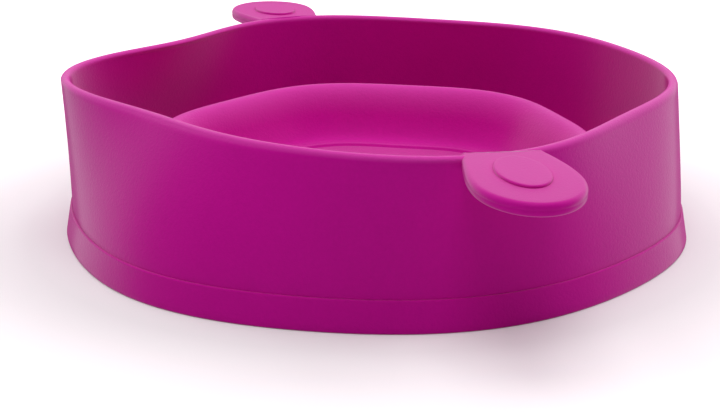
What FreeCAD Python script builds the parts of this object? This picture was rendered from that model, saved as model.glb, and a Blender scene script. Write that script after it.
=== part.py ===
"""Suction bowl of moulded silicone rubber.

Own frame: millimetres, +Z up, the table at Z = 0 and the origin at the middle of the foot. The two
pull tabs lie along the Y axis, the front one at -Y. The bowl is a thin outer wall on a foot band. A
flexible web carries a raised dish inside the wall, with a moat between the two. A suction cup hangs
under the dish.
"""
import FreeCAD, Part
import math
import os

import Sketcher

V = FreeCAD.Vector
UP = V(0, 0, 1)

# name, value, what it is
SIZES = [
    ("total_height", 40.0, "table to the top of the rim"),
    ("rim_radius", 75.2, "mean outer radius of the rim"),
    ("wall", 2.4, "thickness of the outer wall"),
    ("rim_round", 1.05, "rounding of the rim's two edges"),
    ("foot_radius", 80.3, "outer radius of the foot at the table"),
    ("foot_top_radius", 79.1, "outer radius of the foot band at its top"),
    ("foot_height", 7.6, "height of the foot band"),
    ("foot_wall", 3.2, "thickness of the foot band"),
    ("foot_step", 0.4, "ledge between the band and the wall"),
    ("foot_wave", 0.7, "height of the six soft corners of the foot's outline"),
    ("shelf_depth", 2.2, "thickness of the inner shelf on the foot band"),
    ("shelf_width", 7.0, "width of the shelf's bearing face"),
    ("seat_gap", 1.0, "clearance between the web's edge and the wall"),
    ("web", 1.6, "thickness of the moat's web"),
    ("web_rise", 3.0, "how far the web rises from the foot to the dish"),
    ("web_flange", 6.5, "width of the web's inner flange, under the dish"),
    ("web_slope", 7.0, "width of the web's sloping part"),
    ("dish", 2.4, "thickness of the dish"),
    ("lip_drop", 15.2, "rim to the crest of the dish's lip"),
    ("lip_radius", 54.1, "mean radius of the lip's crest"),
    ("lip_width", 4.8, "width across the rounded lip"),
    ("lip_round", 2.2, "rounding of the lip's two edges"),
    ("lip_wave", 1.4, "height of the six soft corners of the dish's outline"),
    ("skirt_flare", 2.4, "how far the dish's outer side leans out to its foot"),
    ("floor_drop", 30.6, "rim to the flat floor of the dish"),
    ("floor_radius", 43.0, "mean radius of the flat floor"),
    ("floor_step", 0.5, "depth of the sunk panel in the floor"),
    ("floor_margin", 3.0, "floor's edge to the sunk panel"),
    ("cup_radius", 41.0, "radius of the suction cup"),
    ("cup", 1.4, "thickness of the suction cup"),
    ("cup_lift", 0.3, "table to the resting lip of the cup"),
    ("cup_lip", 3.0, "width of the cup's flat lip"),
    ("cup_dome", 3.4, "rise of the cup's dome"),
    ("stem_radius", 7.0, "radius of the stem between cup and dish"),
    ("tab_reach", 30.0, "rim to the tip of a pull tab"),
    ("tab_neck", 4.5, "rim to the line where a tab starts to bend"),
    ("tab_depth", 3.1, "thickness of a tab"),
    ("tab_round", 0.9, "rounding of a tab's edges"),
    ("tab_droop", 3.5, "how far a tab hangs at rest, in degrees"),
    ("tab_end_radius", 12.2, "radius of a tab's round end"),
    ("tab_root_width", 19.0, "width of a tab at its root"),
    ("pad_length", 18.4, "length of the raised oval on a tab"),
    ("pad_width", 11.8, "width of the raised oval"),
    ("pad_height", 0.6, "height of the raised oval"),
    ("pad_inset", 0.5, "bending line to the raised oval"),
]

# The rim's outline is a circle with soft waves round it: waves, reach (mm), turn (degrees).
RIM_WAVES = [(1, 2.1, 18.5), (2, 1.2, 105.5), (3, 2.3, 31.5), (4, 3.4, 78.6), (5, 1.3, 18.0), (6, 1.7, 34.2)]
CORNERS = 6
CORNER_TURN = 90.0
OUTLINE_POINTS = 72
DISH_STATIONS = (0.0, 0.12, 0.3, 0.5, 0.7, 0.86, 1.0)
DISH_CURVE = 1.7
WALL_STATIONS = (0.0, 0.25, 0.5, 0.75, 1.0)
WALL_CURVE = 1.3
TABS = {"front_tab": 270.0, "rear_tab": 90.0}

doc = FreeCAD.newDocument("suction_bowl")


def make_sheet():
    """Put every driving dimension into the sheet and return them by name."""
    sheet = doc.addObject("Spreadsheet::Sheet", "dims")
    rows = list(SIZES)
    for waves, reach, turn in RIM_WAVES:
        rows.append(("rim_wave%d_reach" % waves, reach, "reach of the rim's waves, %d to a turn" % waves))
        rows.append(("rim_wave%d_turn" % waves, turn, "direction of the first of them, in degrees"))
    for row, (name, value, note) in enumerate(rows, start=1):
        sheet.set("A%d" % row, note)
        sheet.set("B%d" % row, str(value))
        sheet.setAlias("B%d" % row, name)
    doc.recompute()
    return {name: float(sheet.get(name)) for name, _, _ in rows}


size = make_sheet()


def words(text):
    """Split a sum such as 'wall + 2 * dish' into its words."""
    return text.split()


def amount(text):
    """Value of a sum of named sizes, such as 'foot_height + web'."""
    total = 0.0
    sign = 1.0
    for word in words(text):
        if word in ("+", "-"):
            sign = 1.0 if word == "+" else -1.0
        else:
            total += sign * size[word]
    return total


def bound(text):
    """The same sum as an expression on the sheet."""
    return " ".join(word if word in ("+", "-") else "dims." + word for word in words(text))


# ---------------------------------------------------------------- outlines and lofts

def rim_radius(angle):
    """Outer radius of the rim in the direction angle, in degrees."""
    radius = size["rim_radius"]
    for waves, _, _ in RIM_WAVES:
        reach = size["rim_wave%d_reach" % waves]
        turn = size["rim_wave%d_turn" % waves]
        radius += reach * math.cos(waves * math.radians(angle - turn))
    return radius


def cornered(mean, wave):
    """Outline of mean radius with six soft corners, two of them under the tabs."""
    def radius(angle):
        return mean + wave * math.cos(CORNERS * math.radians(angle - CORNER_TURN))
    return radius


def inset(radius, depth):
    """The same outline, moved inwards by depth."""
    def inner(angle):
        return radius(angle) - depth
    return inner


def between(low, high, share):
    """The outline a share of the way from low to high."""
    def radius(angle):
        return low(angle) * (1 - share) + high(angle) * share
    return radius


def ring(radius, height):
    """Closed smooth wire of the outline at a height."""
    points = []
    for index in range(OUTLINE_POINTS):
        angle = 360.0 * index / OUTLINE_POINTS
        reach = radius(angle)
        points.append(V(reach * math.cos(math.radians(angle)), reach * math.sin(math.radians(angle)), height))
    curve = Part.BSplineCurve()
    curve.interpolate(Points=points, PeriodicFlag=True)
    return Part.Wire([curve.toShape()])


def loft(stations):
    """Solid through outlines at rising heights, straight between them."""
    return Part.makeLoft([ring(radius, height) for radius, height in stations], True, True)


def round_edges(shape, radius, wanted):
    """Round the closed edges whose height and mean radius the test accepts."""
    edges = []
    for edge in shape.Edges:
        box = edge.BoundBox
        if box.ZLength < 0.01 and box.XLength > size["floor_radius"] and wanted(box.ZMax, box.XLength / 2):
            edges.append(edge)
    return shape.makeFillet(radius, edges)


def add_shape(name, shape):
    """Put a finished solid into the document under its own label."""
    feature = doc.addObject("Part::Feature", name)
    feature.Label = name
    feature.Shape = shape
    feature.Placement = FreeCAD.Placement()
    return feature


# ---------------------------------------------------------------- heights and radii that pieces share

wall_foot = cornered(amount("foot_top_radius - foot_step"), size["foot_wave"])
floor_height = amount("total_height - floor_drop")
lip_height = amount("total_height - lip_drop")
web_foot = size["foot_height"]
web_top = amount("foot_height + web_rise + web")
web_outer = amount("foot_top_radius - foot_step - foot_wave - wall - seat_gap")
shelf_inner = amount("foot_top_radius - foot_step - foot_wave - wall - shelf_width")
dish_foot = cornered(amount("lip_radius + skirt_flare") + size["lip_width"] / 2, size["lip_wave"])
skirt_top = cornered(size["lip_radius"] + size["lip_width"] / 2, size["lip_wave"])
bowl_top = cornered(size["lip_radius"] - size["lip_width"] / 2, size["lip_wave"])
bowl_floor = cornered(size["floor_radius"], size["lip_wave"])


# ---------------------------------------------------------------- wall and foot

def wall_block(depth):
    """The whole space inside the wall's outer face, or inside its inner face for depth = wall."""
    stations = []
    for share in WALL_STATIONS:
        height = size["foot_height"] + amount("total_height - foot_height") * share
        stations.append((inset(between(wall_foot, rim_radius, share ** WALL_CURVE), depth), height))
    return loft(stations)


def make_outer_wall():
    """Thin wall from the foot band to the rounded rim."""
    shell = wall_block(0.0).cut(wall_block(size["wall"]))
    top = size["total_height"]
    return add_shape("outer_wall", round_edges(shell, size["rim_round"], lambda z, _: abs(z - top) < 0.01))


def make_foot_band():
    """Flared band that stands on the table, with an inner shelf that carries the web."""
    foot = cornered(size["foot_radius"], size["foot_wave"])
    crown = cornered(size["foot_top_radius"], size["foot_wave"])
    top = size["foot_height"]
    under = top - size["shelf_depth"]
    block = loft([(foot, 0.0), (crown, top)])
    share = under / top
    hollow = loft([(inset(foot, size["foot_wall"]), 0.0),
                   (inset(between(foot, crown, share), size["foot_wall"]), under)])
    hole = Part.makeCylinder(shelf_inner, top, V(0, 0, 0), UP)
    return add_shape("foot_band", block.cut(hollow).cut(hole))


# ---------------------------------------------------------------- dish

def bowl_stations(depth):
    """Outlines of the dish's hollow, or of its underside for depth = dish thickness."""
    stations = []
    for share in DISH_STATIONS:
        height = floor_height + (lip_height - floor_height) * share ** DISH_CURVE
        stations.append((inset(between(bowl_floor, bowl_top, share), -depth), height - depth))
    return stations


def make_inner_dish():
    """Raised dish: an outer skirt, a rounded lip, a curved side and a floor with a sunk panel."""
    crown = lip_height
    share = (crown - size["dish"] - web_top) / (crown - web_top)
    skirt = loft([(dish_foot, web_top), (skirt_top, crown)])
    under = loft([(inset(dish_foot, size["dish"]), web_top),
                  (inset(between(dish_foot, skirt_top, share), size["dish"]), crown - size["dish"])])
    shell = skirt.cut(under)
    bowl = loft(bowl_stations(size["dish"]))
    body = shell.fuse(bowl).cut(loft(bowl_stations(0.0)))
    panel = loft([(inset(bowl_floor, size["floor_margin"]), floor_height - size["floor_step"]),
                  (inset(bowl_floor, size["floor_margin"]), floor_height + size["floor_step"])])
    body = body.cut(panel)
    lip = round_edges(body, size["lip_round"], lambda z, _: abs(z - crown) < 0.01)
    return add_shape("inner_dish", lip)


# ---------------------------------------------------------------- turned pieces

def plane_of(body, role):
    """Origin plane of a body by its role."""
    for feature in body.Origin.OriginFeatures:
        if feature.Role == role:
            return feature
    raise ValueError(role)


def new_body(name):
    """PartDesign body with its own label."""
    body = doc.addObject("PartDesign::Body", name)
    body.Label = name
    return body


def new_sketch(body, name, role):
    """Sketch on one of the body's origin planes."""
    sketch = body.newObject("Sketcher::SketchObject", name)
    sketch.AttachmentSupport = (plane_of(body, role), [""])
    sketch.MapMode = "FlatFace"
    return sketch


def pin_point(sketch, line, end, across, up):
    """Fix one end of a line by two sums of named sizes; a None lies on the axis."""
    for kind, text, axis in (("DistanceX", across, -2), ("DistanceY", up, -1)):
        if text is None:
            sketch.addConstraint(Sketcher.Constraint("PointOnObject", line, end, axis))
        else:
            at = sketch.addConstraint(Sketcher.Constraint(kind, -1, 1, line, end, amount(text)))
            sketch.setExpression("Constraints[%d]" % at, bound(text))


def turned_piece(name, profile):
    """Revolve a closed profile of (radius, height) sums about the Z axis."""
    body = new_body(name)
    sketch = new_sketch(body, name + "_profile", "XZ_Plane")
    places = [V(amount(r) if r else 0.0, amount(z), 0) for r, z in profile]
    count = len(places)
    for index in range(count):
        sketch.addGeometry(Part.LineSegment(places[index], places[(index + 1) % count]), False)
    for index in range(count):
        sketch.addConstraint(Sketcher.Constraint("Coincident", index, 2, (index + 1) % count, 1))
    for index, (radius, height) in enumerate(profile):
        pin_point(sketch, index, 1, radius, height)
    turn = body.newObject("PartDesign::Revolution", name + "_turn")
    turn.Profile = sketch
    turn.ReferenceAxis = (sketch, ["V_Axis"])
    turn.Angle = 360.0
    body.Placement = FreeCAD.Placement()
    doc.recompute()
    return body


def make_moat_web():
    """Thin flexible ring between the foot's shelf and the dish: flange, slope, flange."""
    outer = "foot_top_radius - foot_step - foot_wave - wall - seat_gap"
    knee = "foot_top_radius - foot_step - foot_wave - wall - shelf_width + web"
    bend = "foot_top_radius - foot_step - foot_wave - wall - shelf_width"
    crest = bend + " - web_slope + web"
    top = bend + " - web_slope"
    inner = top + " - web_flange"
    low = "foot_height"
    return turned_piece("moat_web", [
        (inner, low + " + web_rise"), (top, low + " + web_rise"), (bend, low), (outer, low),
        (outer, low + " + web"), (knee, low + " + web"), (crest, low + " + web_rise + web"),
        (inner, low + " + web_rise + web")])


def make_suction_cup():
    """Shallow cup whose stem meets the underside of the dish's floor."""
    seat = "total_height - floor_drop - dish"
    crown = "cup_lift + cup_dome"
    return turned_piece("suction_cup", [
        (None, crown), ("stem_radius", crown), ("cup_radius - cup_lip", "cup_lift"),
        ("cup_radius", "cup_lift"), ("cup_radius", "cup_lift + cup"),
        ("cup_radius - cup_lip", "cup_lift + cup"), ("stem_radius", crown + " + cup"),
        ("stem_radius", seat), (None, seat)])


# ---------------------------------------------------------------- pull tabs

def tab_place(angle, forward, drop):
    """Placement of a tab's own frame, whose -Y runs from the rim's top along the drooping tab."""
    reach = rim_radius(angle)
    spot = V(reach * math.cos(math.radians(angle)), reach * math.sin(math.radians(angle)), size["total_height"])
    rim_frame = FreeCAD.Placement(spot, FreeCAD.Rotation(UP, angle - 270.0))
    droop = FreeCAD.Placement(V(0, 0, 0), FreeCAD.Rotation(V(1, 0, 0), size["tab_droop"]))
    return rim_frame * droop * FreeCAD.Placement(V(0, -forward, -drop), FreeCAD.Rotation())


def tab_tangent():
    """Where a tab's slanting side runs into its round end, in the tab's own frame."""
    centre = amount("tab_reach - tab_neck - tab_end_radius")
    half = size["tab_root_width"] / 2
    radius = size["tab_end_radius"]
    span = math.hypot(half, centre)
    turn = math.atan2(centre, half) - math.acos(radius / span)
    return centre, radius * math.cos(turn), centre - radius * math.sin(turn)


def make_tab(name, angle):
    """Flat tab: a straight root, slanting sides and a round end, with rounded edges."""
    body = new_body(name)
    sketch = new_sketch(body, name + "_outline", "XY_Plane")
    centre, side, meet = tab_tangent()
    half = size["tab_root_width"] / 2
    swing = math.atan2(centre - meet, side)
    sketch.addGeometry(Part.LineSegment(V(-half, 0, 0), V(half, 0, 0)), False)
    sketch.addGeometry(Part.LineSegment(V(half, 0, 0), V(side, -meet, 0)), False)
    circle = Part.Circle(V(0, -centre, 0), UP, size["tab_end_radius"])
    sketch.addGeometry(Part.ArcOfCircle(circle, math.pi - swing, 2 * math.pi + swing), False)
    sketch.addGeometry(Part.LineSegment(V(-side, -meet, 0), V(-half, 0, 0)), False)
    for constraint in (
            Sketcher.Constraint("Coincident", 0, 2, 1, 1),
            Sketcher.Constraint("Tangent", 1, 2, 2, 2),
            Sketcher.Constraint("Tangent", 3, 1, 2, 1),
            Sketcher.Constraint("Coincident", 3, 2, 0, 1),
            Sketcher.Constraint("PointOnObject", 0, 1, -1),
            Sketcher.Constraint("Symmetric", 0, 1, 0, 2, -1, 1),
            Sketcher.Constraint("PointOnObject", 2, 3, -2)):
        sketch.addConstraint(constraint)
    for kind, value, text in (
            (("DistanceX", 0, 1, 0, 2), 2 * half, "dims.tab_root_width"),
            (("Radius", 2), size["tab_end_radius"], "dims.tab_end_radius"),
            (("DistanceY", 2, 3, -1, 1), centre, "dims.tab_reach - dims.tab_neck - dims.tab_end_radius")):
        at = sketch.addConstraint(Sketcher.Constraint(*kind, value))
        sketch.setExpression("Constraints[%d]" % at, text)
    pad = body.newObject("PartDesign::Pad", name + "_plate")
    pad.Profile = sketch
    pad.setExpression("Length", "dims.tab_depth")
    doc.recompute()
    edges = []
    for index, edge in enumerate(pad.Shape.Edges, start=1):
        if edge.BoundBox.ZLength < 0.01 and edge.BoundBox.YLength > 0.01:
            edges.append("Edge%d" % index)
    soft = body.newObject("PartDesign::Fillet", name + "_edges")
    soft.Base = (pad, edges)
    soft.setExpression("Radius", "dims.tab_round")
    body.Placement = tab_place(angle, size["tab_neck"], size["tab_depth"])
    doc.recompute()
    return body


def make_tab_root(name, angle):
    """Short flexible neck that joins a tab to the outer face of the wall."""
    back = size["tab_neck"] + 2 * size["wall"]
    block = Part.makeBox(size["tab_root_width"], back, size["tab_depth"], V(-size["tab_root_width"] / 2, 0, 0))
    block.Placement = tab_place(angle, size["tab_neck"], size["tab_depth"])
    block = block.common(Part.makeBox(4 * back, 400, size["total_height"], V(-2 * back, -200, 0)))
    return add_shape(name, block.cut(wall_block(0.0)))


def make_tab_pad(name, angle):
    """Raised oval for the thumb, on the top of a tab."""
    body = new_body(name)
    sketch = new_sketch(body, name + "_outline", "XY_Plane")
    long_half = size["pad_length"] / 2
    short_half = size["pad_width"] / 2
    middle = size["pad_inset"] + long_half
    centre = V(0, -middle, 0)
    oval = Part.Ellipse(centre + V(0, long_half, 0), centre + V(short_half, 0, 0), centre)
    sketch.addGeometry(oval, False)
    pad = body.newObject("PartDesign::Pad", name + "_boss")
    pad.Profile = sketch
    pad.setExpression("Length", "dims.pad_height")
    body.Placement = tab_place(angle, size["tab_neck"], 0.0)
    doc.recompute()
    return body


# ---------------------------------------------------------------- build, check and write

parts = [make_outer_wall(), make_foot_band(), make_moat_web(), make_inner_dish(), make_suction_cup()]
for tab, direction in TABS.items():
    parts.append(make_tab(tab, direction))
    parts.append(make_tab_root(tab + "_root", direction))
    parts.append(make_tab_pad(tab + "_pad", direction))
doc.recompute()

for item in doc.Objects:
    if "Invalid" in item.State or "Error" in item.State:
        raise RuntimeError("%s failed: %s" % (item.Name, item.State))

os.makedirs("parts", exist_ok=True)
for part in parts:
    if part.Shape.isNull() or not part.Shape.isValid():
        raise RuntimeError("%s has no valid shape" % part.Label)
    part.Shape.exportStep("parts/%s.step" % part.Label)
    box = part.Shape.BoundBox
    print("%-16s solids %d volume %9.1f  X %6.1f %6.1f  Y %6.1f %6.1f  Z %5.1f %5.1f" % (
        part.Label, len(part.Shape.Solids), part.Shape.Volume,
        box.XMin, box.XMax, box.YMin, box.YMax, box.ZMin, box.ZMax))
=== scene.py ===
# %% [markdown]
# # A soft silicone suction bowl
# The bowl is one moulding of matte magenta rubber: a tall thin wall on a foot band, two flat pull
# tabs on the rim, and a raised dish in the middle that presses down onto a suction cup. Everything
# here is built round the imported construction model, in metres, in its own frame: +Z up, the table
# at Z = 0, the tabs along Y. Each visible piece is a mesh worked out from a few sizes.

# %% Load the construction model
import math

import bmesh
import bpy
import numpy as np
from mathutils import Matrix, Vector


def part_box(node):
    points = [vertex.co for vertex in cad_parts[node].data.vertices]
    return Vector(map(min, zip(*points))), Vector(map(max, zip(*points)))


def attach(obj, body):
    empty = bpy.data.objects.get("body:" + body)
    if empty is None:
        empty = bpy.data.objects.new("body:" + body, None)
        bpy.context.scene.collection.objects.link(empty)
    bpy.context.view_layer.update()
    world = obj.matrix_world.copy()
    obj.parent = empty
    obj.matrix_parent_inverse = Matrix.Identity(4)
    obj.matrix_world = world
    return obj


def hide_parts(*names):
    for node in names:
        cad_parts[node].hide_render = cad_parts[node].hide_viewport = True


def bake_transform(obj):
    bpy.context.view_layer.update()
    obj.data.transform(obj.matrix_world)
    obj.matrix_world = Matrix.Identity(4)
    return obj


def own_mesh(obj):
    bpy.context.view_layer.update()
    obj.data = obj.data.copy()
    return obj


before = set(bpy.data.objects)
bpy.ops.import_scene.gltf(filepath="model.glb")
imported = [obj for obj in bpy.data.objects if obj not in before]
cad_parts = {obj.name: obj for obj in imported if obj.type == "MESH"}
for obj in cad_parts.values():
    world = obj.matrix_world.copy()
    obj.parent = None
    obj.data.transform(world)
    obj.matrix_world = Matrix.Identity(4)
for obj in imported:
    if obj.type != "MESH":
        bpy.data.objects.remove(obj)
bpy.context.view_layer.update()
MM = 0.001

# %% [markdown]
# ## Sizes
# A moulded bowl has few sizes, and most of them are radii and heights. The heights come from the
# construction model's boxes, so that the looks follow it. The thicknesses are the ones that the
# rubber is moulded at.

# %% Heights and radii
dish_low, dish_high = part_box("inner_dish")
cup_low, cup_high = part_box("suction_cup")

WALL = 2.4 * MM
DISH = 2.4 * MM
WEB = 1.6 * MM
LIP_SPARE = 1.0 * MM
FLOOR_RISE = 0.6 * MM
RIM_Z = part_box("outer_wall")[1][2]
FOOT_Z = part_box("foot_band")[1][2]
WEB_TOP_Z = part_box("moat_web")[1][2]
# Softening the dish's rows lowers its lip by about as much as LIP_SPARE adds here.
LIP_Z = dish_high[2] + LIP_SPARE
FLOOR_Z = dish_low[2] + DISH + FLOOR_RISE
print("rim %.1f, foot %.1f mm" % (RIM_Z / MM, FOOT_Z / MM))
print("lip %.1f, dish floor %.1f mm" % (LIP_Z / MM, FLOOR_Z / MM))

# %% [markdown]
# ## Silicone
# Matte silicone is coloured right through. Its moulded skin is very finely grained, so its highlights
# are broad and weak, and it looks paler where it is seen at a low angle. The sheen on what sticks out,
# such as the rim and the dish's lip, is painted into the colour as a paler pink. One colour could not
# show this, so the skin is a node group: a slow change of colour from the mould's flow, two sizes of
# grain, and the painted sheen between two heights. The shader itself stays in the material, with a
# sheen for the low angles.

# %% Skin group
MAGENTA = (0.60, 0.0025, 0.31, 1.0)
# The paler pink of the painted sheen on the rim's bead, the dish's lip and the tabs' tops.
PAINTED_SHEEN_PINK = (0.82, 0.07, 0.49, 1.0)
FLOW_SCALE = 26.0
FINE_GRAIN = 2600.0
COARSE_GRAIN = 1200.0
COARSE_SHARE = 0.45
ROUGH_SPREAD = 0.12
SKIN_INPUTS = (
    ("Colour", "NodeSocketColor", MAGENTA),
    ("Mottle", "NodeSocketFloat", 0.06),
    ("Grain size", "NodeSocketFloat", FINE_GRAIN),
    ("Roughness", "NodeSocketFloat", 0.5),
    ("Painted sheen", "NodeSocketFloat", 0.0),
    ("Painted sheen from", "NodeSocketFloat", 0.0),
    ("Painted sheen to", "NodeSocketFloat", 1.0),
    ("Painted sheen colour", "NodeSocketColor", PAINTED_SHEEN_PINK),
)
SKIN_OUTPUTS = (
    ("Colour", "NodeSocketColor"),
    ("Roughness", "NodeSocketFloat"),
    ("Height", "NodeSocketFloat"),
)


def skin_group():
    """Node group: colour, roughness and grain height of moulded silicone; the colour has a painted sheen,
    paler pink between two heights.
    """
    group = bpy.data.node_groups.new("silicone_skin", "ShaderNodeTree")
    for name, kind, default in SKIN_INPUTS:
        socket = group.interface.new_socket(name=name, in_out="INPUT", socket_type=kind)
        socket.default_value = default
    for name, kind in SKIN_OUTPUTS:
        group.interface.new_socket(name=name, in_out="OUTPUT", socket_type=kind)
    nodes, links = group.nodes, group.links
    given = nodes.new("NodeGroupInput")
    result = nodes.new("NodeGroupOutput")
    place = nodes.new("ShaderNodeTexCoord")
    slow = nodes.new("ShaderNodeTexNoise")
    slow.inputs["Scale"].default_value = FLOW_SCALE
    slow.inputs["Detail"].default_value = 4.0
    fine = nodes.new("ShaderNodeTexNoise")
    fine.inputs["Detail"].default_value = 2.0
    links.new(given.outputs["Grain size"], fine.inputs["Scale"])
    coarse = nodes.new("ShaderNodeTexNoise")
    coarse.inputs["Scale"].default_value = COARSE_GRAIN
    coarse.inputs["Detail"].default_value = 3.0
    for texture in (slow, fine, coarse):
        links.new(place.outputs["Object"], texture.inputs["Vector"])
    shade = nodes.new("ShaderNodeMapRange")
    shade.inputs["From Min"].default_value = 0.3
    shade.inputs["From Max"].default_value = 0.7
    mixed = nodes.new("ShaderNodeMix")
    mixed.inputs["Factor"].default_value = COARSE_SHARE
    links.new(slow.outputs["Fac"], mixed.inputs["A"])
    links.new(coarse.outputs["Fac"], mixed.inputs["B"])
    links.new(mixed.outputs["Result"], shade.inputs["Value"])
    less = nodes.new("ShaderNodeMath")
    less.operation = "SUBTRACT"
    less.inputs[0].default_value = 1.0
    links.new(given.outputs["Mottle"], less.inputs[1])
    more = nodes.new("ShaderNodeMath")
    more.operation = "ADD"
    more.inputs[0].default_value = 1.0
    links.new(given.outputs["Mottle"], more.inputs[1])
    links.new(less.outputs[0], shade.inputs["To Min"])
    links.new(more.outputs[0], shade.inputs["To Max"])
    tint = nodes.new("ShaderNodeHueSaturation")
    links.new(given.outputs["Colour"], tint.inputs["Color"])
    links.new(shade.outputs["Result"], tint.inputs["Value"])
    height = nodes.new("ShaderNodeSeparateXYZ")
    links.new(place.outputs["Object"], height.inputs["Vector"])
    # Painted sheen: between two heights the colour turns a paler pink, standing in for the light that the
    # raised rim and lip catch.
    painted_sheen_mask = nodes.new("ShaderNodeMapRange")
    painted_sheen_mask.interpolation_type = "SMOOTHSTEP"
    links.new(height.outputs["Z"], painted_sheen_mask.inputs["Value"])
    links.new(given.outputs["Painted sheen from"], painted_sheen_mask.inputs["From Min"])
    links.new(given.outputs["Painted sheen to"], painted_sheen_mask.inputs["From Max"])
    links.new(given.outputs["Painted sheen"], painted_sheen_mask.inputs["To Max"])
    painted_sheen_mix = nodes.new("ShaderNodeMix")
    painted_sheen_mix.data_type = "RGBA"
    links.new(painted_sheen_mask.outputs["Result"], painted_sheen_mix.inputs["Factor"])
    links.new(tint.outputs["Color"], painted_sheen_mix.inputs["A"])
    links.new(given.outputs["Painted sheen colour"], painted_sheen_mix.inputs["B"])
    links.new(painted_sheen_mix.outputs["Result"], result.inputs["Colour"])
    rough = nodes.new("ShaderNodeMath")
    rough.operation = "MULTIPLY_ADD"
    links.new(coarse.outputs["Fac"], rough.inputs[0])
    rough.inputs[1].default_value = ROUGH_SPREAD
    links.new(given.outputs["Roughness"], rough.inputs[2])
    links.new(rough.outputs[0], result.inputs["Roughness"])
    both = nodes.new("ShaderNodeMath")
    both.operation = "ADD"
    links.new(fine.outputs["Fac"], both.inputs[0])
    links.new(coarse.outputs["Fac"], both.inputs[1])
    links.new(both.outputs[0], result.inputs["Height"])
    return group


skin = skin_group()
print("skin group has", len(skin.nodes), "nodes")

# %% Silicone material
SILICONE_IOR = 1.42
GLOSS = 0.08
GRAIN_DEPTH = 0.07 * MM
HAZE_ROUGHNESS = 0.4
HAZE_TINT = (1.0, 0.8, 0.92, 1.0)
# Pale haze against the angle of view: little face on, most at a slant, none at the very edge.
HAZE = ((0.0, 0.1), (0.28, 0.16), (0.52, 0.72), (0.72, 0.7), (0.85, 0.14), (1.0, 0.0))


def silicone(name, mottle, grain, rough, painted_sheen, heights):
    """Matte silicone rubber; heights says where its painted sheen (a paler pink) starts and where it is
    full.
    """
    material = bpy.data.materials.new(name)
    material.use_nodes = True
    nodes, links = material.node_tree.nodes, material.node_tree.links
    shader = nodes["Principled BSDF"]
    group = nodes.new("ShaderNodeGroup")
    group.node_tree = skin
    group.inputs["Colour"].default_value = MAGENTA
    group.inputs["Mottle"].default_value = mottle
    group.inputs["Grain size"].default_value = FINE_GRAIN
    group.inputs["Roughness"].default_value = rough
    group.inputs["Painted sheen"].default_value = painted_sheen
    group.inputs["Painted sheen from"].default_value, group.inputs["Painted sheen to"].default_value = heights
    bump = nodes.new("ShaderNodeBump")
    bump.inputs["Strength"].default_value = grain
    bump.inputs["Distance"].default_value = GRAIN_DEPTH
    links.new(group.outputs["Colour"], shader.inputs["Base Color"])
    links.new(group.outputs["Roughness"], shader.inputs["Roughness"])
    links.new(group.outputs["Height"], bump.inputs["Height"])
    links.new(bump.outputs["Normal"], shader.inputs["Normal"])
    shader.inputs["IOR"].default_value = SILICONE_IOR
    shader.inputs["Specular IOR Level"].default_value = GLOSS
    facing = nodes.new("ShaderNodeLayerWeight")
    haze = nodes.new("ShaderNodeFloatCurve")
    curve = haze.mapping.curves[0]
    curve.points[0].location = HAZE[0]
    curve.points[1].location = HAZE[-1]
    for place in HAZE[1:-1]:
        curve.points.new(*place)
    haze.mapping.update()
    links.new(facing.outputs["Facing"], haze.inputs["Value"])
    links.new(haze.outputs["Value"], shader.inputs["Sheen Weight"])
    shader.inputs["Sheen Roughness"].default_value = HAZE_ROUGHNESS
    shader.inputs["Sheen Tint"].default_value = HAZE_TINT
    return material


# Each material paints a sheen as a paler pink between two heights: the rim's bead, the dish's lip, the
# tabs' tops.
wall_skin = silicone("wall_silicone", mottle=0.05, grain=0.7, rough=0.44, painted_sheen=0.6,
                     heights=(RIM_Z - 1.6 * MM, RIM_Z - 0.2 * MM))
dish_skin = silicone("dish_silicone", mottle=0.06, grain=0.9, rough=0.46, painted_sheen=0.65,
                     heights=(FLOOR_Z + 6 * MM, LIP_Z - 0.5 * MM))
tab_skin = silicone("tab_silicone", mottle=0.03, grain=0.3, rough=0.42, painted_sheen=0.2,
                    heights=(RIM_Z - 3 * MM, RIM_Z))
print("silicones:", wall_skin.name, dish_skin.name, tab_skin.name)

# %% [markdown]
# ## Outlines
# The rim is not round: it has soft corners, and the dish has six of them. A drawn curve would need
# many points. A circle with a few cosine waves on it gives the same smooth outline from a handful of
# numbers, it closes on itself, and the wall can pass from the rounder foot to the lobed rim by mixing
# two such outlines.

# %% Outline functions
# Radii and wave heights here are in millimetres; each wave is its count, its height and its turn.
RIM_RADIUS = 75.2
RIM_WAVES = (
    (1, 2.1, 18.5), (2, 1.2, 105.5), (3, 2.3, 31.5),
    (4, 3.4, 78.6), (5, 1.3, 18.0), (6, 1.7, 34.2),
)
CORNERS = 6.0
FOOT_RADIUS = 80.3
FOOT_WAVE = 0.7
WALL_FOOT_RADIUS = 78.55


def rim(angle):
    """Outer radius of the rim, in metres; angle in radians, one number or an array."""
    radius = RIM_RADIUS + 0 * angle
    for waves, reach, turn in RIM_WAVES:
        radius = radius + reach * np.cos(waves * (angle - math.radians(turn)))
    return radius * MM


def cornered(mean, wave):
    """Outline with six soft corners, two of them under the tabs."""
    return lambda angle: (mean + wave * np.cos(CORNERS * (angle - math.pi / 2))) * MM


def mix_number(start, end, share):
    """The number a share of the way from start to end."""
    return start + (end - start) * share


def mix(low, high, share):
    """The outline a share of the way from low to high."""
    return lambda angle: low(angle) * (1 - share) + high(angle) * share


wall_foot = cornered(WALL_FOOT_RADIUS, FOOT_WAVE)
reaches = rim(np.linspace(0, 2 * math.pi, 90)) / MM
print("rim reaches %.1f to %.1f mm" % (reaches.min(), reaches.max()))

# %% [markdown]
# ## Ring meshes
# A lathe (the Screw modifier) makes only round things. Here the same idea is done by hand: a section
# is carried round the outline, and each point of the section is an outline, an inset and a height.
# The result is a clean grid of four-sided faces, which shades smoothly.

# %% Grid helpers
AROUND = 288


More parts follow.
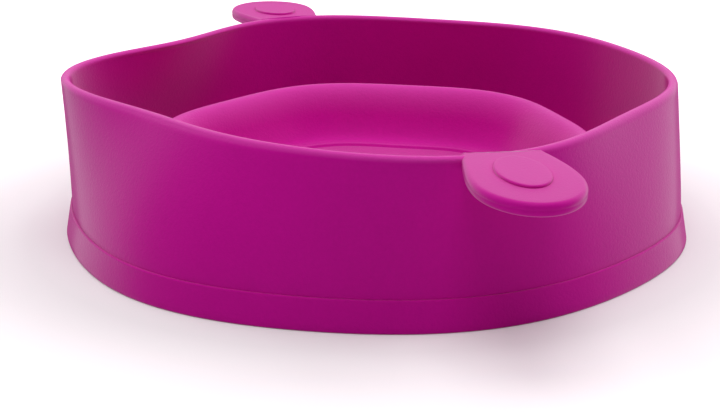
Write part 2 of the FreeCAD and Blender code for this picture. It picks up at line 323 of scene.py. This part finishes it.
def finish_mesh(name, verts, faces, merge=1e-6):
    """Make a mesh object with closed, outward faces and smooth shading."""
    mesh = bpy.data.meshes.new(name)
    mesh.from_pydata([tuple(v) for v in verts], [], faces)
    work = bmesh.new()
    work.from_mesh(mesh)
    bmesh.ops.remove_doubles(work, verts=work.verts, dist=merge)
    edges = [edge for edge in work.edges if edge.is_boundary]
    if edges:
        bmesh.ops.holes_fill(work, edges=edges, sides=0)
    bmesh.ops.recalc_face_normals(work, faces=work.faces)
    for face in work.faces:
        face.smooth = True
    work.to_mesh(mesh)
    work.free()
    piece = bpy.data.objects.new(name, mesh)
    bpy.context.scene.collection.objects.link(piece)
    print("%-18s %6d faces" % (name, len(mesh.polygons)))
    return piece


def ring_rows(section, around=AROUND):
    """Points of a section of (outline, inset, height), carried round the bowl."""
    angle = np.linspace(0, 2 * math.pi, around, endpoint=False)
    rows = []
    for outline, inset, height in section:
        radius = np.maximum(outline(angle) - inset, 0.0)
        rows.append(np.stack([radius * np.cos(angle), radius * np.sin(angle), height + 0 * angle], axis=1))
    return rows


def grid_faces(rows, around, closed):
    """Four-sided faces between the rows of a grid whose columns close on themselves."""
    faces = []
    for row in range(rows if closed else rows - 1):
        low = row * around
        high = ((row + 1) % rows) * around
        for column in range(around):
            right = (column + 1) % around
            faces.append((low + column, low + right, high + right, high + column))
    return faces


def ease(rows, first, last, times):
    """Soften the rows from first to last by averaging each with its neighbours."""
    for _ in range(times):
        before = [row.copy() for row in rows]
        for i in range(first, last):
            rows[i] = (before[i - 1] + 2 * before[i] + before[i + 1]) / 4
    return rows


def ring_piece(name, section, closed=True, around=AROUND, soft=None):
    """Mesh of a section carried round the bowl; an open section must start and end on the axis."""
    rows = ring_rows(section, around)
    if soft:
        rows = ease(rows, *soft)
    return finish_mesh(name, np.concatenate(rows), grid_faces(len(rows), around, closed))


def arc(start, end, steps):
    """Cosines and sines of a quarter turn or so, in degrees."""
    return [(math.cos(math.radians(a)), math.sin(math.radians(a))) for a in np.linspace(start, end, steps)]


# %% [markdown]
# ## The outer wall
# The wall is thin and even, and its rim is a soft bead that catches the light. A flat strip with a
# Solidify modifier would give the thickness, but not the rounded rim. So the section goes up the
# outside, over the bead and down the inside. The wall stands nearly straight over the
# foot and takes on the rim's corners mostly in its upper half, so the two outlines are mixed with a
# power of the height, not in proportion to it.

# %% Outer wall
RIM_ROUND = 1.15 * MM
INTO_BAND = 0.7 * MM
WALL_CURVE = 1.3
WALL_STEPS = 30


def wall_outline(height):
    """Outer outline of the wall at a height."""
    share = (height - FOOT_Z) / (RIM_Z - FOOT_Z)
    return mix(wall_foot, rim, max(share, 0.0) ** WALL_CURVE)


def wall_section():
    """Up the outside, over the rim and down the inside."""
    levels = [FOOT_Z - INTO_BAND]
    levels += [FOOT_Z + (RIM_Z - RIM_ROUND - FOOT_Z) * i / WALL_STEPS for i in range(WALL_STEPS + 1)]
    outside = [(wall_outline(z), 0.0, z) for z in levels]
    inside = [(wall_outline(z), WALL, z) for z in reversed(levels)]
    bead = []
    for across, up in arc(0, 180, 13)[1:-1]:
        inset = WALL / 2 - across * WALL / 2
        bead.append((rim, inset, RIM_Z - RIM_ROUND + up * RIM_ROUND))
    return outside + bead + inside


outer_wall = ring_piece("wall_shell", wall_section())
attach(outer_wall, "wall")
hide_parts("outer_wall")

# %% [markdown]
# ## The foot band
# A thicker band runs round the foot, with a fine groove where the wall starts. One section follows
# one closed path, which is what Geometry Nodes' Curve to Mesh does. The section is drawn as a loop of
# edges, and the tree bends a circle into the six-cornered path from named inputs, so the band can be
# given another size or another number of corners by changing a number.

# %% Foot band, made by a node tree
EDGE = 0.5 * MM
LEAN = 1.2 * MM
GROOVE = 0.5 * MM
GROOVE_START = 0.1 * MM
UNDER_WALL = 3.0 * MM
LEDGE_REACH = 11.8 * MM
LEDGE = 2.2 * MM
BAND = 3.2 * MM
CHAMFER = 1.0 * MM
FACE_STEPS = 6


def foot_section():
    """Closed section of the band: (inset from the foot's outline, height)."""
    tall = FOOT_Z - 2 * EDGE
    groove_z = FOOT_Z - GROOVE
    ledge_z = FOOT_Z - LEDGE
    points = [(LEAN * i / FACE_STEPS, EDGE + tall * i / FACE_STEPS) for i in range(FACE_STEPS + 1)]
    points += [(LEAN + EDGE * (1 - c), FOOT_Z - EDGE + EDGE * s) for c, s in arc(15, 90, 6)]
    points += [(LEAN + EDGE + GROOVE_START, groove_z), (UNDER_WALL, groove_z), (UNDER_WALL, FOOT_Z)]
    points += [(LEDGE_REACH, FOOT_Z), (LEDGE_REACH, ledge_z), (BAND + CHAMFER, ledge_z)]
    points += [(BAND, ledge_z - CHAMFER), (BAND, 0.0)]
    points += [(EDGE * (1 - c), EDGE - EDGE * s) for c, s in arc(90, 15, 6)]
    return points


BAND_INPUTS = (
    ("Steps", "NodeSocketInt", AROUND),
    ("Radius", "NodeSocketFloat", FOOT_RADIUS * MM),
    ("Wave", "NodeSocketFloat", 0.0),
    ("Corners", "NodeSocketFloat", CORNERS),
    ("Material", "NodeSocketMaterial", None),
)


def band_tree():
    """Node tree: carries the object's own outline round a circle with waves."""
    tree = bpy.data.node_groups.new("ring_band", "GeometryNodeTree")
    face = tree.interface
    face.new_socket(name="Geometry", in_out="INPUT", socket_type="NodeSocketGeometry")
    for name, kind, default in BAND_INPUTS:
        socket = face.new_socket(name=name, in_out="INPUT", socket_type=kind)
        if default is not None:
            socket.default_value = default
    face.new_socket(name="Geometry", in_out="OUTPUT", socket_type="NodeSocketGeometry")
    nodes, links = tree.nodes, tree.links
    given, result = nodes.new("NodeGroupInput"), nodes.new("NodeGroupOutput")
    circle = nodes.new("GeometryNodeCurvePrimitiveCircle")
    circle.inputs["Radius"].default_value = 1.0
    links.new(given.outputs["Steps"], circle.inputs["Resolution"])
    place = nodes.new("GeometryNodeInputPosition")
    split = nodes.new("ShaderNodeSeparateXYZ")
    links.new(place.outputs["Position"], split.inputs["Vector"])

    def maths(kind, first, second):
        """Add a Math node; each input is another node's output or a number."""
        node = nodes.new("ShaderNodeMath")
        node.operation = kind
        for socket, value in zip(node.inputs, (first, second)):
            if hasattr(value, "links"):
                links.new(value, socket)
            else:
                socket.default_value = value
        return node.outputs[0]

    turn = maths("ARCTAN2", split.outputs["Y"], split.outputs["X"])
    turn = maths("SUBTRACT", turn, math.pi / 2)
    wave = maths("COSINE", maths("MULTIPLY", turn, given.outputs["Corners"]), 0.0)
    radius = maths("ADD", given.outputs["Radius"], maths("MULTIPLY", wave, given.outputs["Wave"]))
    scale = nodes.new("ShaderNodeVectorMath")
    scale.operation = "SCALE"
    links.new(place.outputs["Position"], scale.inputs["Vector"])
    links.new(radius, scale.inputs["Scale"])
    shape = nodes.new("GeometryNodeSetPosition")
    links.new(circle.outputs["Curve"], shape.inputs["Geometry"])
    links.new(scale.outputs["Vector"], shape.inputs["Position"])
    section = nodes.new("GeometryNodeMeshToCurve")
    links.new(given.outputs["Geometry"], section.inputs["Mesh"])
    sweep = nodes.new("GeometryNodeCurveToMesh")
    links.new(shape.outputs["Geometry"], sweep.inputs["Curve"])
    links.new(section.outputs["Curve"], sweep.inputs["Profile Curve"])
    real = nodes.new("GeometryNodeRealizeInstances")
    links.new(sweep.outputs["Mesh"], real.inputs["Geometry"])
    paint = nodes.new("GeometryNodeSetMaterial")
    links.new(real.outputs["Geometry"], paint.inputs["Geometry"])
    links.new(given.outputs["Material"], paint.inputs["Material"])
    links.new(paint.outputs["Geometry"], result.inputs["Geometry"])
    return tree


def band_piece(name, section, values):
    """Run the tree on a section drawn as a loop of edges, and keep the result as a plain mesh."""
    loop = bpy.data.meshes.new(name + "_section")
    count = len(section)
    edges = [(i, (i + 1) % count) for i in range(count)]
    loop.from_pydata([(-inset, -height, 0) for inset, height in section], edges, [])
    holder = bpy.data.objects.new(name + "_section", loop)
    bpy.context.scene.collection.objects.link(holder)
    modifier = holder.modifiers.new("ring_band", "NODES")
    modifier.node_group = band_tree()
    for item in modifier.node_group.interface.items_tree:
        if item.in_out == "INPUT" and item.name in values:
            modifier[item.identifier] = values[item.name]
    graph = bpy.context.evaluated_depsgraph_get()
    made = bpy.data.meshes.new_from_object(holder.evaluated_get(graph))
    holder.modifiers.clear()
    verts = [v.co.copy() for v in made.vertices]
    faces = [tuple(f.vertices) for f in made.polygons]
    bpy.data.objects.remove(holder)
    piece = finish_mesh(name, verts, faces)
    piece.data.materials.append(made.materials[0])
    return piece


band_sizes = {"Steps": AROUND, "Radius": FOOT_RADIUS * MM, "Wave": FOOT_WAVE * MM, "Material": wall_skin}
foot_band = band_piece("foot_band_rubber", foot_section(), band_sizes)
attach(foot_band, "wall")
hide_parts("foot_band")

# %% [markdown]
# ## The moat's web
# Between the wall and the dish lies a thin web. It slopes up to the dish and gives way when the dish
# is pressed, so its slope is an S with no corner in it. A bevelled step would leave a crease, and half
# a cosine wave has none. The outlines are plain circles, so the web is equally wide all round.

# %% Moat web
WEB_OUTER = 74.6
WEB_BEND = 68.6
WEB_SLOPE = 7.0
WEB_INNER = 55.1
WEB_STEPS = 12


def round_outline(radius):
    """Plain circle, radius in millimetres."""
    return lambda angle: radius * MM + 0 * angle


def web_section():
    """Top from the outside in, then the underside back out."""
    low = FOOT_Z
    rise = WEB_TOP_Z - WEB - low
    top = [(WEB_OUTER, 0.0)]
    for share in [i / WEB_STEPS for i in range(WEB_STEPS + 1)]:
        top.append((WEB_BEND - WEB_SLOPE * share, rise * (0.5 - 0.5 * math.cos(math.pi * share))))
    top.append((WEB_INNER, rise))
    upper = [(round_outline(r), 0.0, low + z + WEB) for r, z in top]
    lower = [(round_outline(r), 0.0, low + z) for r, z in reversed(top)]
    return upper + lower


moat_web = ring_piece("moat_web_rubber", web_section())
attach(moat_web, "wall")
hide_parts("moat_web")

# %% [markdown]
# ## The raised dish
# The dish is a thin shell: an outer skirt, a broad rounded lip, a side that curves down and a flat
# floor with a slightly sunk panel. The lip is the brightest line inside the bowl, so it is a full
# round of many rows. A Subdivision Surface would soften the whole shell, the panel's edge too. So only
# the rows from the side to the skirt are softened, by averaging each with its neighbours.

# %% Raised dish
LIP_RADIUS = 54.1
LIP_HALF = 2.4
LIP_ROUND = 2.3 * MM
DISH_WAVE = 1.4
DISH_CURVE = 1.7
FLOOR_RADIUS = 43.0
SKIRT_FLARE = 2.4
PANEL_MARGIN = 2.2 * MM
PANEL_DEPTH = 0.6 * MM
PANEL_SHARES = (0.3, 0.6, 0.9, 0.985)
# The panel's edge, from its floor up: how far outside the margin, and how far under the floor.
PANEL_EDGE = ((0.0, PANEL_DEPTH), (0.1 * MM, 0.15 * MM), (0.3 * MM, 0.0))
FLOOR_EDGE = 1.0 * MM
SIDE_STEPS = 40
LIP_STEPS = 16
SKIRT_STEPS = 8
skirt_foot = cornered(LIP_RADIUS + LIP_HALF + SKIRT_FLARE, DISH_WAVE)
skirt_top = cornered(LIP_RADIUS + LIP_HALF, DISH_WAVE)
bowl_top = cornered(LIP_RADIUS - LIP_HALF, DISH_WAVE)
bowl_floor = cornered(FLOOR_RADIUS, DISH_WAVE)
lip_middle = cornered(LIP_RADIUS, DISH_WAVE)
middle = round_outline(0.0)


def bowl_side(depth, top, sink=0.0):
    """Side of the dish, from its floor up to a height.

    For the underside, depth is the shell's thickness, and sink lowers the floor's end further.
    """
    rise = LIP_Z - FLOOR_Z
    last = ((top - FLOOR_Z) / rise) ** (1 / DISH_CURVE)
    rows = []
    for i in range(SIDE_STEPS + 1):
        share = last * i / SIDE_STEPS
        height = FLOOR_Z + rise * share ** DISH_CURVE - depth - sink * (1 - share)
        rows.append((mix(bowl_floor, bowl_top, share), -depth, height))
    return rows


def dish_section():
    """From the middle of the floor, up the side, over the lip, down the skirt and back underneath."""
    panel_z = FLOOR_Z - PANEL_DEPTH
    panel = [(middle, 0.0, panel_z)]
    panel += [(mix(middle, bowl_floor, share), PANEL_MARGIN * share, panel_z) for share in PANEL_SHARES]
    panel += [(bowl_floor, PANEL_MARGIN - out, FLOOR_Z - drop) for out, drop in PANEL_EDGE]
    panel += [(bowl_floor, FLOOR_EDGE, FLOOR_Z)]
    shoulder = LIP_Z - LIP_ROUND
    side = bowl_side(0.0, shoulder)
    lip = []
    for across, up in arc(180, 0, LIP_STEPS + 1):
        lip.append((lip_middle, -across * (LIP_HALF * MM), shoulder + up * LIP_ROUND))
    skirt, under = [], []
    for share in [i / SKIRT_STEPS for i in range(SKIRT_STEPS + 1)]:
        skirt.append((mix(skirt_top, skirt_foot, share), 0.0, mix_number(shoulder, WEB_TOP_Z, share)))
        under.append((mix(skirt_foot, skirt_top, share), DISH, mix_number(WEB_TOP_Z, LIP_Z - DISH, share)))
    back = list(reversed(bowl_side(DISH, LIP_Z - DISH, FLOOR_RISE)))
    base = [(mix(middle, bowl_floor, share), -DISH * share, dish_low[2]) for share in (0.8, 0.4)]
    base += [(middle, 0.0, dish_low[2])]
    return panel + side + lip[1:] + skirt[1:] + under + back[1:] + base


# Softened rows: from the first row of the side to the last but two of the skirt.
PANEL_ROWS = len(PANEL_SHARES) + len(PANEL_EDGE) + 2
LAST_SOFT = PANEL_ROWS + SIDE_STEPS + 1 + LIP_STEPS + SKIRT_STEPS - 2
SOFT_TIMES = 60
softened = (PANEL_ROWS, LAST_SOFT, SOFT_TIMES)
inner_dish = ring_piece("dish_rubber", dish_section(), closed=False, soft=softened)
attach(inner_dish, "dish")
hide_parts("inner_dish")

# %% [markdown]
# ## The suction cup
# Under the dish a thin round cup spreads from a stem. It is round, because a cup has to seal evenly.
# A flattened half sphere would have neither lip nor stem. So a section with both of them is carried
# round by the same ring mesh as the wall.

# %% Suction cup
CUP = 1.4 * MM
CUP_RADIUS = 41.0
STEM = 7.0
DOME = 3.4 * MM
DOME_MARGIN = 3.0
DOME_STEPS = 14
CUP_SOFT = 0.3
CUP_BEVEL = 0.4
STEM_WAIST = 0.2
STEM_START = 0.4 * MM


def cup_section():
    """Underside from the middle out, the lip, then back over the top to the stem."""
    low = cup_low[2]
    top = cup_high[2] - low
    reach = []
    for share in [i / DOME_STEPS for i in range(DOME_STEPS + 1)]:
        radius = mix_number(STEM, CUP_RADIUS - DOME_MARGIN, share)
        reach.append((radius, DOME * (0.5 + 0.5 * math.cos(math.pi * share))))
    soft = CUP_SOFT * MM
    waist = STEM - STEM_WAIST
    under = [(0.0, DOME)] + reach + [(CUP_RADIUS - CUP_SOFT, 0.0)]
    over = [(CUP_RADIUS, soft), (CUP_RADIUS, CUP - soft), (CUP_RADIUS - CUP_BEVEL, CUP)]
    over += [(radius, rise + CUP) for radius, rise in reversed(reach)]
    over += [(waist, DOME + CUP + STEM_START), (waist, top), (0.0, top)]
    return [(round_outline(radius), 0.0, low + rise) for radius, rise in under + over]


suction_cup = ring_piece("suction_cup_rubber", cup_section(), closed=False, around=160)
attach(suction_cup, "wall")
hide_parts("suction_cup")

# %% [markdown]
# ## The pull tabs
# A tab is a flat tongue, flush with the rim, with a round end, soft edges and a fine parting line
# round its edge. It could be a flat outline with a Bevel modifier, but that leaves one large face, and
# a large face can't bend. Bending is what a tab is for. So its mesh has a spine of points down its
# middle, and rings round the spine, and no large face.

# %% Tab outline and rows
TAB_REACH = 30.5 * MM
TAB_END = 12.1 * MM
TAB_ROOT = 9.0 * MM
TAB = 3.1 * MM
TAB_HIGH_ROUND = 1.1 * MM
TAB_LOW_ROUND = 0.9 * MM
PARTING = 0.52 * TAB
PARTING_DEPTH = 0.1 * MM
PARTING_ABOVE = 0.22 * MM
PARTING_BELOW = 0.2 * MM
TAB_SIDE = 40
TAB_ARC = 72
TAB_SHARES = (0.0, 0.2, 0.4, 0.6, 0.8, 0.93)
INTO_RIM = 1.2 * MM
ROOT_FADE = 9.0 * MM
# Each soft tab sits a little differently: place on the rim, skew and droop, in degrees.
TABS = {"front_tab": (271.0, 7.0, 3.5), "rear_tab": (90.0, 0.0, 1.5)}


def tab_outline():
    """Points, outward normals and spine points of a tab, from one side of its root to the other."""
    centre = TAB_REACH / 2
    end_long = TAB_REACH - centre
    flare = TAB_END - TAB_ROOT
    points, normals, spine = [], [], []
    for i in range(TAB_SIDE):
        share = i / TAB_SIDE
        along = -INTO_RIM + (centre + INTO_RIM) * share
        swell = flare * math.sin(share * math.pi / 2)
        slope = flare * math.cos(share * math.pi / 2) * math.pi / 2 / (centre + INTO_RIM)
        points.append(Vector((TAB_ROOT + swell, along)))
        normals.append(Vector((1.0, -slope)).normalized())
        spine.append(Vector((0.0, along)))
    for angle in np.linspace(0, math.pi, TAB_ARC + 1):
        points.append(Vector((TAB_END * math.cos(angle), centre + end_long * math.sin(angle))))
        normals.append(Vector((end_long * math.cos(angle), TAB_END * math.sin(angle))).normalized())
        spine.append(Vector((0.0, centre)))
    for i in reversed(range(TAB_SIDE)):
        points.append(Vector((-points[i].x, points[i].y)))
        normals.append(Vector((-normals[i].x, normals[i].y)))
        spine.append(spine[i])
    return points, normals, spine


def tab_rows():
    """Rows of (share towards the edge, inset, drop) from the spine's top to its underside."""
    high, low = TAB_HIGH_ROUND, TAB_LOW_ROUND
    rows = [(share, high, 0.0) for share in (*TAB_SHARES, 1.0)]
    rows += [(1.0, high * (1 - c), high * (1 - s)) for c, s in arc(90, 0, 9)[1:]]
    rows += [(1.0, 0.0, PARTING - PARTING_ABOVE), (1.0, PARTING_DEPTH, PARTING)]
    rows += [(1.0, 0.0, PARTING + PARTING_BELOW)]
    rows += [(1.0, low * (1 - c), TAB - low * (1 - s)) for c, s in arc(0, 90, 9)[1:]]
    rows += [(share, low, TAB) for share in reversed(TAB_SHARES)]
    return rows


print("a tab has", 2 * TAB_SIDE + TAB_ARC + 1, "points round it and", len(tab_rows()), "rows")

# %% Tab placing
PAD_LONG = 9.6 * MM
PAD_WIDE = 5.8 * MM
PAD_RISE = 0.6 * MM
PAD_SOFT = 0.45 * MM
PAD_FLAT = 1.2 * MM
PAD_START = 2.4 * MM
PAD_SUNK = 0.4 * MM
PAD_STEPS = 120


def tab_frame(tab):
    """Matrix from a tab's own frame (+Y outwards from the rim) to the bowl's."""
    angle, skew, droop = TABS[tab]
    reach = float(rim(math.radians(angle)))
    place = Vector((reach * math.cos(math.radians(angle)), reach * math.sin(math.radians(angle)), RIM_Z))
    turn = Matrix.Rotation(math.radians(angle - 90 - skew), 4, "Z")
    return Matrix.Translation(place) @ turn @ Matrix.Rotation(math.radians(-droop), 4, "X")


def rim_bend(tab, across):
    """How far the rim falls back from the middle of a tab's root, at a distance across it."""
    angle, skew, _ = TABS[tab]
    reach = float(rim(math.radians(angle)))
    turn = math.radians(angle) - across / reach
    return float(rim(turn)) * math.cos(across / reach) - reach - across * math.tan(math.radians(skew))


def make_tab(tab):
    """Tab with its neck, as one mesh whose root lies under the crest of the rim."""
    points, normals, spine = tab_outline()
    verts = []
    for share, inset, drop in tab_rows():
        for point, normal, inner in zip(points, normals, spine):
            place = inner.lerp(point - normal * inset, share)
            near = max(0.0, 1 - (place.y + INTO_RIM) / ROOT_FADE) ** 2
            verts.append(Vector((place.x, place.y + near * rim_bend(tab, place.x), -drop)))
    around = len(points)
    count = len(tab_rows())
    faces = []
    for row in range(count - 1):
        for column in range(around - 1):
            low = row * around + column
            faces.append((low, low + 1, low + around + 1, low + around))
    matrix = tab_frame(tab)
    return finish_mesh(tab + "_rubber", [matrix @ v for v in verts], faces)


def make_pad(tab):
    """Raised oval for the thumb, sunk a little into the tab so that no gap shows."""
    centre = Vector((0, PAD_START + PAD_LONG, 0))
    rows = [(share, 0.0, 0.0) for share in (0.0, 0.35, 0.7)]
    rows += [(1.0, PAD_FLAT, 0.0)]
    rows += [(1.0, PAD_SOFT * (1 - c), PAD_SOFT * (1 - s)) for c, s in arc(90, 0, 6)]
    rows += [(share, 0.0, PAD_RISE + PAD_SUNK) for share in (1.0, 0.5, 0.0)]
    matrix = tab_frame(tab)
    verts = []
    for share, inset, drop in rows:
        wide = (PAD_WIDE - inset) * share
        long = (PAD_LONG - inset) * share
        for turn in [2 * math.pi * i / PAD_STEPS for i in range(PAD_STEPS)]:
            place = Vector((wide * math.cos(turn), long * math.sin(turn), PAD_RISE - drop))
            verts.append(matrix @ (centre + place))
    return finish_mesh(tab + "_oval", verts, grid_faces(len(rows), PAD_STEPS, False))


tabs = []
pads = []
for tab in TABS:
    plate = make_tab(tab)
    pad = make_pad(tab)
    for piece in (plate, pad):
        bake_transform(piece)
    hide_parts(tab, tab + "_root")
    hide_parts(tab + "_pad")
    tabs.append(plate)
    pads.append(pad)

# %% [markdown]
# ## Finish
# The whole bowl is one colour, but each region keeps its own painted sheen and grain, so three
# materials share it: one for the wall, web and band, one for the dish and cup, and one for the tabs.
# The band already has its material from the node tree.

# %% Materials on the pieces
for piece in (outer_wall, moat_web):
    piece.data.materials.append(wall_skin)
for piece in (inner_dish, suction_cup):
    piece.data.materials.append(dish_skin)
for piece in (*tabs, *pads):
    piece.data.materials.append(tab_skin)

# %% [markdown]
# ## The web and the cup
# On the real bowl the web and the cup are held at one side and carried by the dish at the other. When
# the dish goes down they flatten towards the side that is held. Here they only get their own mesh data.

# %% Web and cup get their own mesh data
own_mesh(moat_web)
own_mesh(suction_cup)

# %% [markdown]
# ## Studio
# The bowl stands on a white sweep. The room is bright behind it and dim behind the lens, which makes
# the pale haze at the bowl's left and right and on the tabs, while the side towards the lens stays
# deep. Soft lamps from above give the light of the tops and a soft shadow. The sweep looks white to
# the lens, and close to the bowl it keeps the shadow.

# %% Floor
FLOOR_SIZE = 3.0
FLOOR_GREY = (0.76, 0.76, 0.76, 1.0)
# Pink of the sweep's own glow, which shows only in the shadow: painted pink light, standing in for light
# bounced from the bowl.
PAINTED_BOUNCE_PINK = (1.0, 0.8, 0.9, 1.0)
# The sweep's own brightness: weak up to the first distance from the middle, strong past the second.
SHADOW_REACH = {"From Min": 0.09, "From Max": 0.19, "To Min": 0.15, "To Max": 0.85}


def floor_material():
    """White sweep that keeps the shadow: part of its brightness is its own, only for the lens, and its
    pink glow paints light bounced from the bowl into the shadow.
    """
    material = bpy.data.materials.new("white_sweep")
    material.use_nodes = True
    nodes, links = material.node_tree.nodes, material.node_tree.links
    shader = nodes["Principled BSDF"]
    shader.inputs["Base Color"].default_value = FLOOR_GREY
    shader.inputs["Roughness"].default_value = 0.9
    shader.inputs["Specular IOR Level"].default_value = 0.1
    path = nodes.new("ShaderNodeLightPath")
    place = nodes.new("ShaderNodeTexCoord")
    reach = nodes.new("ShaderNodeVectorMath")
    reach.operation = "LENGTH"
    links.new(place.outputs["Object"], reach.inputs[0])
    spread = nodes.new("ShaderNodeMapRange")
    for name, value in SHADOW_REACH.items():
        spread.inputs[name].default_value = value
    links.new(reach.outputs["Value"], spread.inputs["Value"])
    lift = nodes.new("ShaderNodeMath")
    lift.operation = "MULTIPLY"
    links.new(spread.outputs["Result"], lift.inputs[1])
    links.new(path.outputs["Is Camera Ray"], lift.inputs[0])
    # The pink glow paints light bounced from the bowl into the shadow; elsewhere the sweep clips to white.
    shader.inputs["Emission Color"].default_value = PAINTED_BOUNCE_PINK
    links.new(lift.outputs[0], shader.inputs["Emission Strength"])
    return material


square = [(-1, -1), (1, -1), (1, 1), (-1, 1)]
floor_verts = [(x * FLOOR_SIZE, y * FLOOR_SIZE, 0) for x, y in square]
floor = finish_mesh("studio_floor", floor_verts, [(0, 1, 2, 3)])
floor.data.materials.append(floor_material())

# %% World
LENS_TURN = math.radians(71.1)
AHEAD = Vector((math.cos(LENS_TURN), math.sin(LENS_TURN), 0))
ASIDE = Vector((AHEAD.y, -AHEAD.x, 0))
# The room's strength, by the cosine of the angle from the way the lens points: dim behind the lens.
ROOM = {"From Min": -0.6, "From Max": 1.0, "To Min": 0.06, "To Max": 0.95}

world = bpy.data.worlds.new("studio")
bpy.context.scene.world = world
world.use_nodes = True
air = world.node_tree.nodes
wires = world.node_tree.links
background = air["Background"]
background.inputs["Color"].default_value = (1.0, 1.0, 1.0, 1.0)
look = air.new("ShaderNodeTexCoord")
away = air.new("ShaderNodeVectorMath")
away.operation = "DOT_PRODUCT"
away.inputs[1].default_value = AHEAD
wires.new(look.outputs["Generated"], away.inputs[0])
fade = air.new("ShaderNodeMapRange")
fade.interpolation_type = "SMOOTHSTEP"
for name, value in ROOM.items():
    fade.inputs[name].default_value = value
wires.new(away.outputs["Value"], fade.inputs["Value"])
path = air.new("ShaderNodeLightPath")
seen = air.new("ShaderNodeMath")
seen.operation = "MAXIMUM"
wires.new(path.outputs["Is Camera Ray"], seen.inputs[0])
wires.new(fade.outputs["Result"], seen.inputs[1])
wires.new(seen.outputs[0], background.inputs["Strength"])
print("world is brightest behind the bowl")

# %% Lamps
BOWL_MIDDLE = Vector((0, 0, 0.02))


def lamp(name, place, size, power):
    """Square soft lamp that points at the bowl."""
    light = bpy.data.lights.new(name, "AREA")
    light.shape = "SQUARE"
    light.size = size
    light.energy = power
    holder = bpy.data.objects.new(name, light)
    bpy.context.scene.collection.objects.link(holder)
    holder.location = place
    holder.rotation_euler = (BOWL_MIDDLE - Vector(place)).to_track_quat("-Z", "Y").to_euler()
    return holder


def studio(right, away, up):
    """A place given from the lens: to the right, away from it, and up, in metres."""
    return tuple(ASIDE * right + AHEAD * away + Vector((0, 0, up)))


lamp("top_softbox", studio(right=0.0, away=0.1, up=1.0), size=0.6, power=3.3)
lamp("front_high", studio(right=-0.05, away=-0.6, up=1.0), size=0.5, power=2.6)
lamp("left_high", studio(right=-0.7, away=0.0, up=0.75), size=0.5, power=1.25)
lamp("right_high", studio(right=0.8, away=0.1, up=0.65), size=0.4, power=2.2)
lamp("front_fill", studio(right=-0.25, away=-1.0, up=0.4), size=0.7, power=0.35)

# %% Camera
LENS_PITCH = math.radians(17.58)
LENS_LENGTH = 84.6
LENS_PLACE = (-0.1411, -0.4005, RIM_Z + 0.09885)
lens = bpy.data.cameras.new("lens")
lens.sensor_width = 36.0
lens.lens = LENS_LENGTH
camera = bpy.data.objects.new("lens", lens)
bpy.context.scene.collection.objects.link(camera)
camera.location = LENS_PLACE
gaze = AHEAD * math.cos(LENS_PITCH) - Vector((0, 0, math.sin(LENS_PITCH)))
camera.rotation_euler = gaze.to_track_quat("-Z", "Y").to_euler()
bpy.context.scene.camera = camera
bpy.context.scene.view_settings.view_transform = "Standard"
print("lens looks down %.1f degrees" % math.degrees(LENS_PITCH))
